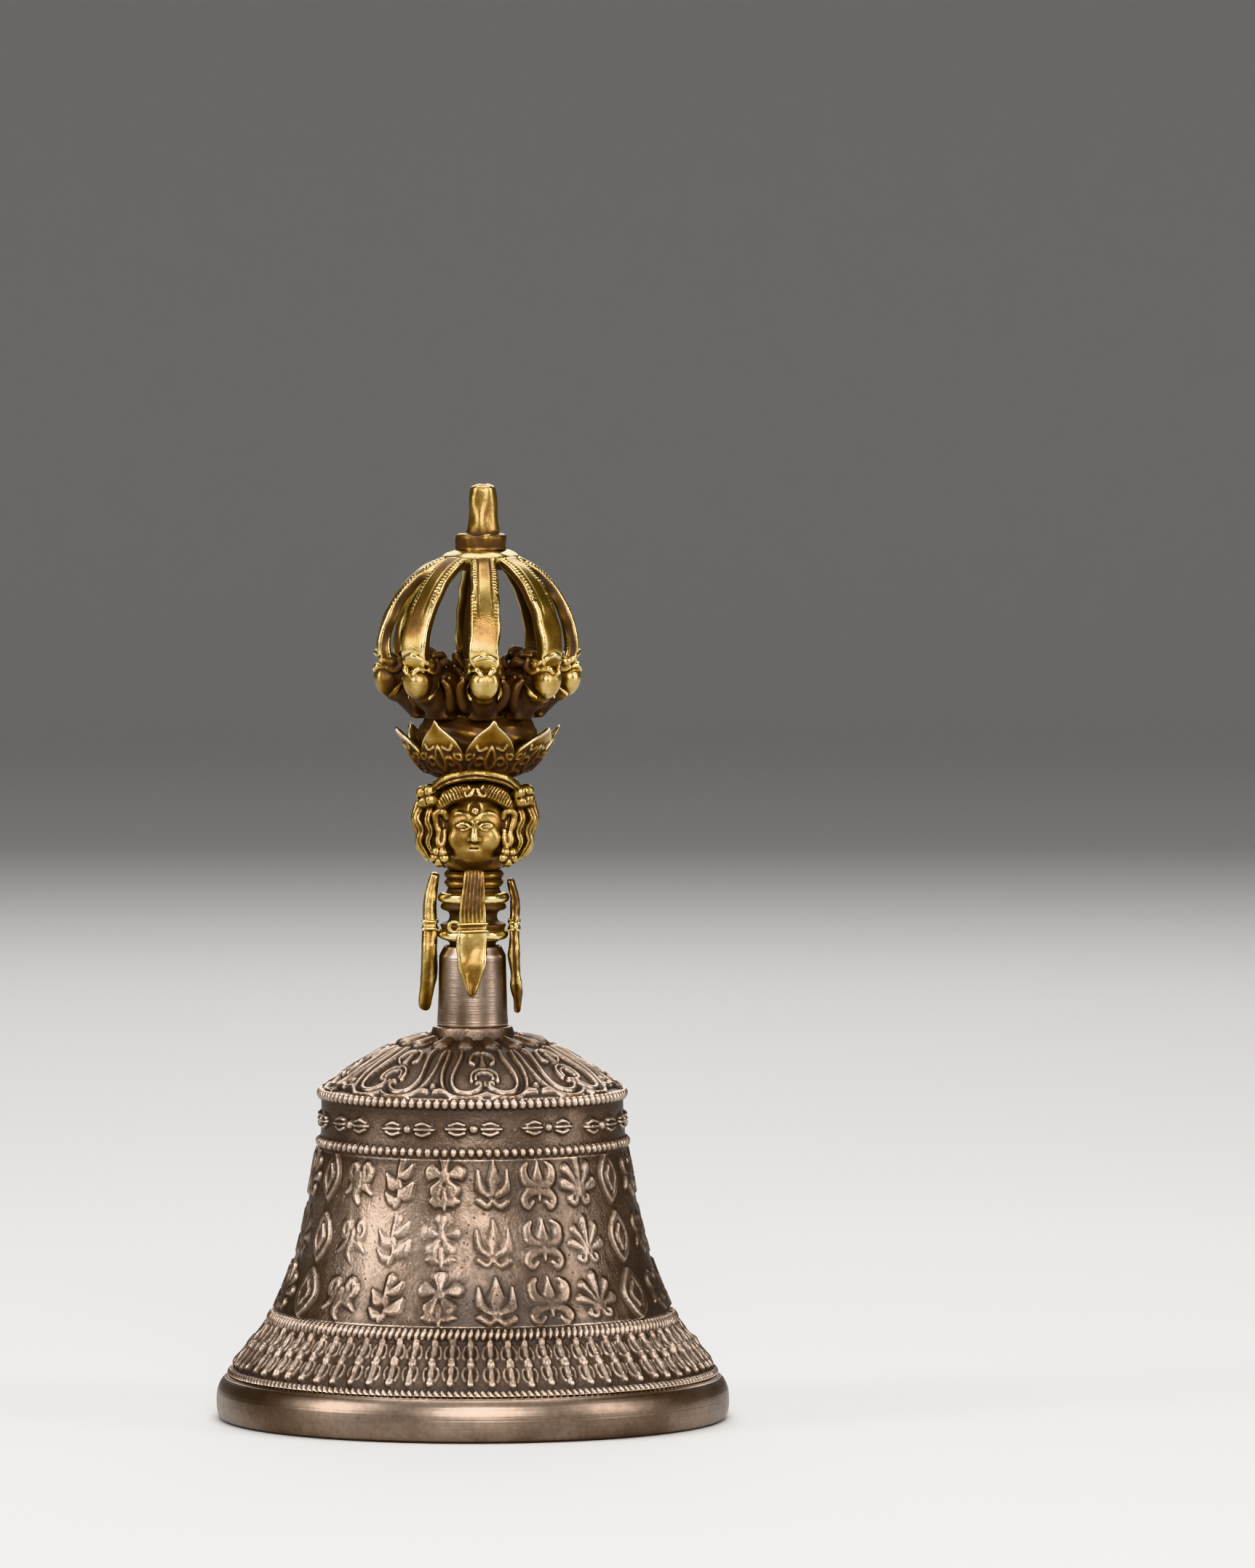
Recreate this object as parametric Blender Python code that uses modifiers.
"""A Tibetan hand bell, as separate pieces.

A cast bell carries a turned neck socket. In the socket, bedded in dark pitch, stands a brass
handle: a post with two rings and four hanging straps, a head, a lotus cup, and a crown of eight
closed prongs round a central one, under a hub and a finial. A clapper hangs inside the bell.

Tables and sizes are in millimetres, and the scene is in metres. +Z is up, -Y is the front, and
the origin is the centre of the circle that the rim stands on."""

import math

import bmesh
import bpy
from mathutils import Matrix, Vector

MM = 0.001
GAP = 0.3  # left between neighbouring pieces
FINE = 56  # sides of the bell
COARSE = 28  # sides of the smaller turned pieces

# Heights of the stack on the bell's axis, from the rim upwards.
CROWN_INSIDE = 78.8
BELL_TOP = 86.3
SOCKET_TOP = 104.5
RING_HEIGHTS = {"ring_lower": 106.8, "ring_upper": 115.0}
COLLAR_BOTTOM = 117.2
HEAD_BOTTOM = 121.1
LOTUS_BOTTOM = 141.5
BASE_TOP = 155.0
BOSS_TOP = 158.5
HUB_BOTTOM = 187.0
HUB_TOP = 191.5
FINIAL_TOP = 206.0

# The bell. The wall runs from the shoulder down to the smooth rim.
COLLAR_RADIUS = 9.3
DOME = [(COLLAR_RADIUS, 83.9), (19.5, 81.7), (26.8, 77.8), (31.6, 74.2), (33.4, 72.9)]
UPPER_WALL = [(33.2, 70.8), (33.5, 66.0), (33.9, 63.2)]
WALL = [(34.1, 60.9), (35.3, 54.5), (36.6, 45.5), (38.9, 36.5), (41.4, 30.0), (43.6, 24.9)]
SKIRT = [(45.0, 21.4), (47.9, 17.8), (52.3, 12.5)]
RIM = [(53.6, 10.2), (55.3, 8.4), (56.2, 6.4), (56.3, 4.5), (56.1, 2.6), (55.1, 0)]
INSIDE = [(49.6, 0), (48.3, 5), (45.9, 12), (42.3, 20), (39.9, 26), (37.2, 34), (34.6, 44)]
INSIDE += [(32.6, 54), (30.9, 64), (29.4, 69.5), (26.6, 73.6), (21.0, 76.6), (11.0, 78.3)]
BEAD_HEIGHT = 1.7  # of the beaded rings at the shoulder and under the small band
ROPE_HEIGHT = 2.4  # of the rope over the skirt
STAPLE_HOLE = 1.5

# The neck socket, the pitch in it and the post that it holds.
SOCKET_FOOT = 7.8
SOCKET_NECK = (7.0, 102.5)
SOCKET_LIP = 6.1
SOCKET_BORE = 5.0
TANG_RADIUS = 2.6
TANG_BOTTOM = 88.6
POST_RADIUS = 5.0
RING_MAJOR = 6.55
RING_MINOR = 1.05

# The head. Each lump is (centre, radii); those off the middle are mirrored in X.
HEAD_CORE = [(9.6, 141.2), (11.2, 137), (10.6, 130), (8.9, 124.5), (6.3, HEAD_BOTTOM)]
HEAD_LUMPS = {
    "face": ((0, -3.6, 130.0), (6.9, 8.0, 7.4)),
    "nose": ((0, -11.3, 129.2), (1.1, 1.3, 2.0)),
    "brow_band": ((0, -10.9, 139.8), (7.0, 2.0, 1.9)),
    "back_hair": ((0, 4.2, 131.5), (9.6, 6.6, 8.8)),
    "side_hair": ((9.4, -0.5, 131.0), (3.6, 5.2, 7.6)),
    "ear": ((8.4, -5.6, 130.6), (1.5, 1.6, 3.4)),
    "upper_rosette": ((11.2, -4.4, 137.6), (3.1, 3.0, 3.1)),
    "lower_rosette": ((7.4, -4.8, 124.5), (2.6, 2.5, 2.3)),
}

# The lotus cup, as (radius, height) from its middle hole to a petal's tip and to a valley.
PETALS = 8
PETAL_TURN = 12.0  # degrees that one petal's middle stands to the right of the front
LOTUS_FLOOR = [(3.0, LOTUS_BOTTOM), (9.0, LOTUS_BOTTOM), (10.4, LOTUS_BOTTOM + 0.5)]
PETAL_TIP = [(13.6, 144.0), (16.0, 147.2), (17.9, 152.0)]
PETAL_VALLEY = [(13.0, 143.6), (14.4, 145.2), (15.2, 146.6)]
LOTUS_THICKNESS = 1.0

# The crown.
PRONGS = 8
CROWN_TURN = 5.0  # degrees that one prong stands to the right of the front
BASE_PROFILE = [(12.4, BASE_TOP), (12.95, 153.6), (12.95, 149.6), (11.9, 147.4), (9.2, 144.6)]
PRONG_OUTSIDE = [(13.2, BASE_TOP + GAP), (14.0, 157.0), (16.4, 158.6), (19.4, 157.9)]
PRONG_OUTSIDE += [(22.0, 159.0), (22.8, 161.2), (21.6, 163.6), (21.5, 166.2), (22.15, 169.6)]
PRONG_OUTSIDE += [(21.6, 174.2), (19.6, 179.6), (16.2, 184.6), (12.2, 188.2), (8.8, 190.0)]
PRONG_INSIDE = [(8.8, 187.4), (11.0, 186.2), (14.4, 182.8), (17.2, 178.4), (18.9, 173.6)]
PRONG_INSIDE += [(19.4, 169.4), (18.4, 166.0), (15.6, 163.2), (12.0, 161.6), (9.6, 159.6)]
PRONG_INSIDE += [(9.2, BASE_TOP + GAP)]
PRONG_WIDTH = (6.8, 160.0)  # width, and the height that it is measured at
PRONG_WIDTH_TOP = (5.1, 190.0)
HUB_RADIUS = 8.5
FINIAL_PROFILE = [(1.6, FINIAL_TOP), (2.5, 205.5), (2.9, 204.2), (3.6, 195.6), (5.3, 195.0)]
FINIAL_PROFILE += [(5.65, 194.3), (5.65, 192.6), (5.2, HUB_TOP + GAP)]

# The straps: (half width, height) down their length, each one's tip, and where they stand.
STRAP_OUTLINE = [(2.2, 121.4), (2.85, 110.4), (2.85, 107.8), (3.1, 104.0), (2.5, 98.5)]
STRAP_TIPS = {"front": 94.2, "right": 89.7, "back": 92.0, "left": 90.4}
STRAP_INSIDE = 7.9
STRAP_THICKNESS = 1.4
STRAP_TURNS = {"front": -90, "right": 0, "back": 90, "left": 180}  # degrees from +X
BAND_HEIGHTS = (107.9, 110.3)
BAND_WIDTH = 8.3
BAND_THICKNESS = 0.8

# The clapper's chain: each ring's own centre line, and the wires that they hang on.
STAPLE_MAJOR = 3.2
STAPLE_WIRE = 0.9
LINK_MAJOR = 3.0
LINK_WIRE = 0.75
EYE_MAJOR = 2.6
EYE_WIRE = 0.8
STAPLE_CENTRE = CROWN_INSIDE - 0.1 - STAPLE_WIRE - STAPLE_MAJOR
LINK_PIVOT = STAPLE_CENTRE - STAPLE_MAJOR
LINK_CENTRE = LINK_PIVOT + STAPLE_WIRE + GAP + LINK_WIRE - LINK_MAJOR
CLAPPER_PIVOT = LINK_CENTRE - LINK_MAJOR
EYE_CENTRE = CLAPPER_PIVOT + LINK_WIRE + GAP + EYE_WIRE - EYE_MAJOR
ROD_RADIUS = 1.3
STRIKER_BORE_BOTTOM = 16.0
STRIKER = [(1.6, 25.0), (2.6, 24.4), (3.6, 21.6), (5.6, 18.4), (6.5, 14.6), (6.0, 11.0)]
STRIKER += [(3.9, 8.3), (0, 7.2)]

# Finishes: colour, roughness, metallic.
FINISHES = {
    "bronze": ((0.36, 0.27, 0.21), 0.42, 1.0),
    "turned_bronze": ((0.46, 0.34, 0.26), 0.34, 1.0),
    "brass": ((0.64, 0.45, 0.17), 0.30, 1.0),
    "dark_brass": ((0.20, 0.12, 0.07), 0.55, 1.0),
    "silvered_brass": ((0.52, 0.42, 0.26), 0.32, 1.0),
    "pitch": ((0.05, 0.035, 0.03), 0.80, 0.0),
    "iron": ((0.14, 0.12, 0.11), 0.55, 1.0),
}


def clear_scene():
    for obj in list(bpy.data.objects):
        bpy.data.objects.remove(obj, do_unlink=True)


def new_collection(name):
    collection = bpy.data.collections.new(name)
    bpy.context.scene.collection.children.link(collection)
    return collection


def move_to(collection, obj):
    for old in list(obj.users_collection):
        old.objects.unlink(obj)
    collection.objects.link(obj)


def dress(obj, finish):
    """Gives a piece its own material."""
    colour, roughness, metallic = FINISHES[finish]
    material = bpy.data.materials.new(f"{obj.name}_{finish}")
    material.use_nodes = True
    shader = material.node_tree.nodes["Principled BSDF"]
    shader.inputs["Base Color"].default_value = (*colour, 1)
    shader.inputs["Roughness"].default_value = roughness
    shader.inputs["Metallic"].default_value = metallic
    material.diffuse_color = (*colour, 1)
    obj.data.materials.clear()
    obj.data.materials.append(material)


def add_piece(name, mesh, finish):
    mesh.name = name
    obj = bpy.data.objects.new(name, mesh)
    pieces.objects.link(obj)
    dress(obj, finish)
    return obj


def add_helper(obj):
    """Keeps an object that only cuts or joins out of the model."""
    move_to(helpers, obj)
    obj.hide_render = True
    obj.display_type = "WIRE"
    return obj


def boolean(obj, other, operation):
    modifier = obj.modifiers.new(f"{operation.lower()}_{other.name}", "BOOLEAN")
    modifier.operation = operation
    modifier.solver = "EXACT"
    modifier.object = other


def bevel(obj, width):
    modifier = obj.modifiers.new("rounded_edges", "BEVEL")
    modifier.width = width * MM
    modifier.segments = 2
    modifier.limit_method = "ANGLE"
    modifier.angle_limit = math.radians(40)


def smooth(points, per_span=3):
    """Points on a Catmull-Rom curve through the given ones."""
    ends = [points[0], *points, points[-1]]
    line = []
    for a, b, c, d in zip(ends, ends[1:], ends[2:], ends[3:]):
        for step in range(per_span):
            t = step / per_span
            line.append(
                tuple(
                    b[i]
                    + 0.5 * t * (c[i] - a[i])
                    + t * t * (a[i] - 2.5 * b[i] + 2 * c[i] - 0.5 * d[i])
                    + t**3 * (1.5 * (b[i] - c[i]) + 0.5 * (d[i] - a[i]))
                    for i in (0, 1)
                )
            )
    return [*line, points[-1]]


def half_round(radius, middle, height, depth, count=4):
    """A ring's half-round profile, standing out of a wall, from its top to its bottom."""
    angles = [math.pi * (0.5 - step / (count - 1)) for step in range(count)]
    return [(radius + depth * math.cos(a), middle + height / 2 * math.sin(a)) for a in angles]


def profile_mesh(points, closed):
    mesh = bpy.data.meshes.new("profile")
    edges = [(i, i + 1) for i in range(len(points) - 1)]
    if closed:
        edges.append((len(points) - 1, 0))
    mesh.from_pydata([(r * MM, 0, z * MM) for r, z in points], edges, [])
    return mesh


def turned(name, points, finish, sides=COARSE, closed=False):
    """Turns (radius, height) points, listed down the outer side, round the Z axis."""
    obj = add_piece(name, profile_mesh(points, closed), finish)
    screw = obj.modifiers.new("turn", "SCREW")
    screw.steps = screw.render_steps = sides
    screw.use_merge_vertices = True
    screw.merge_threshold = 0.00001
    return obj


def torus(name, centre, major, minor, finish, rotation=(0, 0, 0), sides=COARSE, wire_sides=8):
    """A round-wire ring. Its axis is Z until it is rotated."""
    bpy.ops.mesh.primitive_torus_add(
        location=Vector(centre) * MM,
        rotation=rotation,
        major_radius=major * MM,
        minor_radius=minor * MM,
        major_segments=sides,
        minor_segments=wire_sides,
    )
    obj = bpy.context.object
    obj.name = name
    move_to(pieces, obj)
    dress(obj, finish)
    return obj


def box(name, low, high):
    mesh = bpy.data.meshes.new(name)
    shape = bmesh.new()
    bmesh.ops.create_cube(shape, size=1.0)
    for vert in shape.verts:
        for i in range(3):
            vert.co[i] = (high[i] if vert.co[i] > 0 else low[i]) * MM
    shape.to_mesh(mesh)
    shape.free()
    return mesh


def flat_outline(name, points, thickness):
    """A closed flat shape in the XZ plane, thick in Y, as a mesh with welded caps."""
    curve = bpy.data.curves.new(name, "CURVE")
    curve.dimensions = "2D"
    curve.fill_mode = "BOTH"
    curve.extrude = thickness / 2 * MM
    spline = curve.splines.new("POLY")
    spline.points.add(len(points) - 1)
    for point, (x, z) in zip(spline.points, points):
        point.co = (x * MM, z * MM, 0, 1)
    spline.use_cyclic_u = True
    outline = bpy.data.objects.new(name, curve)
    outline.rotation_euler = (math.pi / 2, 0, 0)
    helpers.objects.link(outline)
    bpy.context.view_layer.update()
    evaluated = outline.evaluated_get(bpy.context.evaluated_depsgraph_get())
    mesh = bpy.data.meshes.new_from_object(evaluated)
    mesh.transform(outline.matrix_world)
    shape = bmesh.new()
    shape.from_mesh(mesh)
    bmesh.ops.remove_doubles(shape, verts=shape.verts, dist=0.00001)
    bmesh.ops.recalc_face_normals(shape, faces=shape.faces)
    shape.to_mesh(mesh)
    shape.free()
    bpy.data.objects.remove(outline)
    return mesh


def hang(obj, pivot_height, pivot_name):
    """Puts a piece on an empty that stands on its joint's axis."""
    pivot = bpy.data.objects.get(pivot_name)
    if pivot is None:
        pivot = bpy.data.objects.new(pivot_name, None)
        pivot.empty_display_size = 5 * MM
        pivot.location = (0, 0, pivot_height * MM)
        pieces.objects.link(pivot)
    obj.parent = pivot
    obj.location.z -= pivot_height * MM


def bell_outline():
    """The bell's whole section, from the collar's top down the outside and up the inside."""
    outside = [(STAPLE_HOLE, BELL_TOP), (COLLAR_RADIUS - 0.4, BELL_TOP)]
    outside += [(COLLAR_RADIUS, BELL_TOP - 0.4)]
    outside += smooth(DOME, 2)
    outside += half_round(33.3, 71.8, BEAD_HEIGHT, 0.9)
    outside += UPPER_WALL
    outside += half_round(34.0, 62.0, BEAD_HEIGHT, 0.9)
    outside += WALL
    outside += half_round(44.2, 23.0, ROPE_HEIGHT, 1.0)
    outside += SKIRT
    outside += half_round(52.9, 11.3, 1.5, 0.7)
    outside += RIM
    return outside + INSIDE + [(STAPLE_HOLE, CROWN_INSIDE)]


def make_bell():
    turned("bell_body", bell_outline(), "bronze", FINE, closed=True)


def make_neck():
    outside = [(SOCKET_BORE, SOCKET_TOP), (SOCKET_LIP, SOCKET_TOP), SOCKET_NECK]
    outside += [(7.55, 90.0), (SOCKET_FOOT, BELL_TOP + GAP), (SOCKET_BORE, BELL_TOP + GAP)]
    turned("neck_socket", outside, "turned_bronze", COARSE, closed=True)

    inner = TANG_RADIUS + GAP
    outer = SOCKET_BORE - GAP
    pitch = [(inner, 104.3), (outer - 0.6, 104.3), (outer, 103.7), (outer, 89.0), (inner, 89.0)]
    turned("socket_filler", pitch, "pitch", COARSE, closed=True)


def make_post():
    top = COLLAR_BOTTOM - GAP
    shoulder = SOCKET_TOP + 0.6
    post = [(0, top), (POST_RADIUS - 0.4, top), (POST_RADIUS, top - 0.4)]
    post += [(POST_RADIUS, shoulder + 0.6), (POST_RADIUS - 0.6, shoulder)]
    post += [(TANG_RADIUS, shoulder), (TANG_RADIUS, TANG_BOTTOM), (0, TANG_BOTTOM)]
    turned("handle_post", post, "dark_brass")
    for name, height in RING_HEIGHTS.items():
        torus(name, (0, 0, height), RING_MAJOR, RING_MINOR, "brass")
    bottom = COLLAR_BOTTOM
    top = HEAD_BOTTOM - GAP
    middle = (bottom + top) / 2
    collar = [(0, top), (5.9, top)]
    collar += half_round(5.7, (top + middle) / 2, (top - bottom) / 2.3, 0.85)
    collar += half_round(5.7, (bottom + middle) / 2, (top - bottom) / 2.3, 0.85)
    collar += [(5.9, bottom), (0, bottom)]
    turned("head_collar", collar, "dark_brass")


def make_head():
    core = [(0, HEAD_CORE[0][1]), *HEAD_CORE, (0, HEAD_BOTTOM)]
    head = turned("head", core, "brass")
    for name, (centre, radii) in HEAD_LUMPS.items():
        for side in (1, -1) if centre[0] else (1,):
            bpy.ops.mesh.primitive_uv_sphere_add(segments=14, ring_count=9, radius=1.0)
            lump = bpy.context.object
            lump.name = f"head_{name}_{'right' if side > 0 else 'left'}"
            lump.scale = Vector(radii) * MM
            lump.location = Vector((side * centre[0], centre[1], centre[2])) * MM
            boolean(head, add_helper(lump), "UNION")


def lotus_point(turn, rise):
    """A point of the cup's sheet: turn goes round once, and rise runs from the hole to the edge."""
    across = abs((turn * PETALS) % 1 - 0.5) * 2  # 0 in a petal's middle, 1 in a valley
    tip = 1 - across**1.3
    edge = [
        tuple(low + tip * (high - low) for low, high in zip(valley, point))
        for valley, point in zip(PETAL_VALLEY, PETAL_TIP)
    ]
    line = LOTUS_FLOOR + edge
    radius, height = line[round(rise * (len(line) - 1))]
    angle = 2 * math.pi * turn + math.radians(PETAL_TURN - 90 - 180 / PETALS)
    return Vector((radius * math.cos(angle), radius * math.sin(angle), height)) * MM


def make_lotus():
    shape = bmesh.new()
    rises = len(LOTUS_FLOOR + PETAL_TIP) - 1
    bmesh.ops.create_grid(shape, x_segments=PETALS * 6, y_segments=rises, size=0.5)
    for vert in shape.verts:
        vert.co = lotus_point(vert.co.x + 0.5, vert.co.y + 0.5)
    bmesh.ops.remove_doubles(shape, verts=shape.verts, dist=0.00001)
    bmesh.ops.recalc_face_normals(shape, faces=shape.faces)
    mesh = bpy.data.meshes.new("lotus_cup")
    shape.to_mesh(mesh)
    shape.free()
    cup = add_piece("lotus_cup", mesh, "silvered_brass")
    sheet = cup.modifiers.new("thickness", "SOLIDIFY")
    sheet.thickness = LOTUS_THICKNESS * MM
    sheet.offset = 1


def make_crown():
    bottom = LOTUS_BOTTOM + LOTUS_THICKNESS + GAP
    base = [(0, BOSS_TOP), (4.6, BOSS_TOP), (5.0, BOSS_TOP - 0.4), (5.0, BASE_TOP)]
    base += [*BASE_PROFILE, (7.0, bottom), (0, bottom)]
    turned("crown_base", base, "dark_brass")

    outline = PRONG_OUTSIDE + PRONG_INSIDE
    slope = (PRONG_WIDTH_TOP[0] - PRONG_WIDTH[0]) / (PRONG_WIDTH_TOP[1] - PRONG_WIDTH[1])
    for number in range(PRONGS):
        mesh = flat_outline("prong", outline, 1.0)
        for vert in mesh.vertices:
            vert.co.y *= PRONG_WIDTH[0] + slope * (vert.co.z / MM - PRONG_WIDTH[1])
        turn = CROWN_TURN - 90 + number * 360 / PRONGS
        prong = add_piece(f"crown_prong_{number + 1}", mesh, "brass")
        prong.rotation_euler.z = math.radians(turn)
        bevel(prong, 0.4)

    bar = [(0, HUB_BOTTOM - GAP), (2.3, HUB_BOTTOM - GAP), (3.3, 176.0), (3.3, 168.0)]
    bar += [(2.6, BOSS_TOP + GAP), (0, BOSS_TOP + GAP)]
    turned("central_prong", bar, "dark_brass", sides=4)

    hub = [(0, HUB_TOP), (7.4, HUB_TOP), (8.2, 190.9), (HUB_RADIUS, 189.8)]
    hub += [(HUB_RADIUS, HUB_BOTTOM + 0.6), (HUB_RADIUS - 0.6, HUB_BOTTOM), (0, HUB_BOTTOM)]
    turned("crown_hub", hub, "brass")
    finial = [(0, FINIAL_TOP), *FINIAL_PROFILE, (0, HUB_TOP + GAP)]
    turned("finial", finial, "brass")


def make_straps():
    outside = STRAP_INSIDE + STRAP_THICKNESS
    half = max(half for half, _ in STRAP_OUTLINE[:3]) + GAP
    ring_inside = STRAP_INSIDE - GAP - BAND_THICKNESS
    ring_outside = outside + GAP + BAND_THICKNESS
    for side, turn in STRAP_TURNS.items():
        outline = [(-half, height) for half, height in STRAP_OUTLINE]
        outline += [(0, STRAP_TIPS[side])]
        outline += [(half, height) for half, height in reversed(STRAP_OUTLINE)]
        mesh = flat_outline("strap", outline, STRAP_THICKNESS)
        mesh.transform(Matrix.Translation((0, -(STRAP_INSIDE + STRAP_THICKNESS / 2) * MM, 0)))
        strap = add_piece(f"pendant_{side}", mesh, "brass")
        strap.rotation_euler.z = math.radians(turn + 90)
        bevel(strap, 0.25)

        low, high = BAND_HEIGHTS
        plate = box("band", (-BAND_WIDTH / 2, -ring_outside, low), (BAND_WIDTH / 2, -ring_inside, high))
        band = add_piece(f"pendant_band_{side}", plate, "brass")
        slot = box(
            "slot",
            (-half, -outside - GAP, low - 1),
            (half, -STRAP_INSIDE + GAP, high + 1),
        )
        cutter = bpy.data.objects.new(f"band_slot_{side}", slot)
        helpers.objects.link(cutter)
        add_helper(cutter)
        for obj in (band, cutter):
            obj.rotation_euler.z = math.radians(turn + 90)
        boolean(band, cutter, "DIFFERENCE")


def make_clapper():
    washer = BELL_TOP + GAP
    shank = STAPLE_HOLE - GAP
    pin = [(0, washer + 1.4), (2.0, washer + 1.4), (2.4, washer + 1.0), (2.4, washer)]
    pin += [(shank, washer), (shank, STAPLE_CENTRE + STAPLE_MAJOR - 0.3)]
    pin += [(0, STAPLE_CENTRE + STAPLE_MAJOR - 0.3)]
    staple = turned("clapper_staple", pin, "iron", sides=16)
    on_edge = (math.pi / 2, 0, 0)
    ring = torus("staple_ring", (0, 0, STAPLE_CENTRE), STAPLE_MAJOR, STAPLE_WIRE, "iron", on_edge)
    boolean(staple, add_helper(ring), "UNION")

    sideways = (0, math.pi / 2, 0)
    link = torus("clapper_link", (0, 0, LINK_CENTRE), LINK_MAJOR, LINK_WIRE, "iron", sideways)
    hang(link, LINK_PIVOT, "link_pivot")

    eye_bottom = EYE_CENTRE - EYE_MAJOR
    stem = [(0, eye_bottom + 0.3), (ROD_RADIUS, eye_bottom + 0.3)]
    stem += [(ROD_RADIUS, STRIKER_BORE_BOTTOM + GAP), (0, STRIKER_BORE_BOTTOM + GAP)]
    rod = turned("clapper_rod", stem, "iron", sides=16)
    eye = torus("rod_eye", (0, 0, EYE_CENTRE), EYE_MAJOR, EYE_WIRE, "iron", on_edge)
    boolean(rod, add_helper(eye), "UNION")
    hang(rod, CLAPPER_PIVOT, "clapper_pivot")

    bore = [(0, STRIKER_BORE_BOTTOM), (ROD_RADIUS + GAP, STRIKER_BORE_BOTTOM)]
    striker = turned("clapper_striker", bore + smooth(STRIKER, 2), "iron", sides=24)
    hang(striker, CLAPPER_PIVOT, "clapper_pivot")


clear_scene()
pieces = new_collection("tibetan_bell")
helpers = new_collection("cutters")
make_bell()
make_neck()
make_post()
make_head()
make_lotus()
make_crown()
make_straps()
make_clapper()
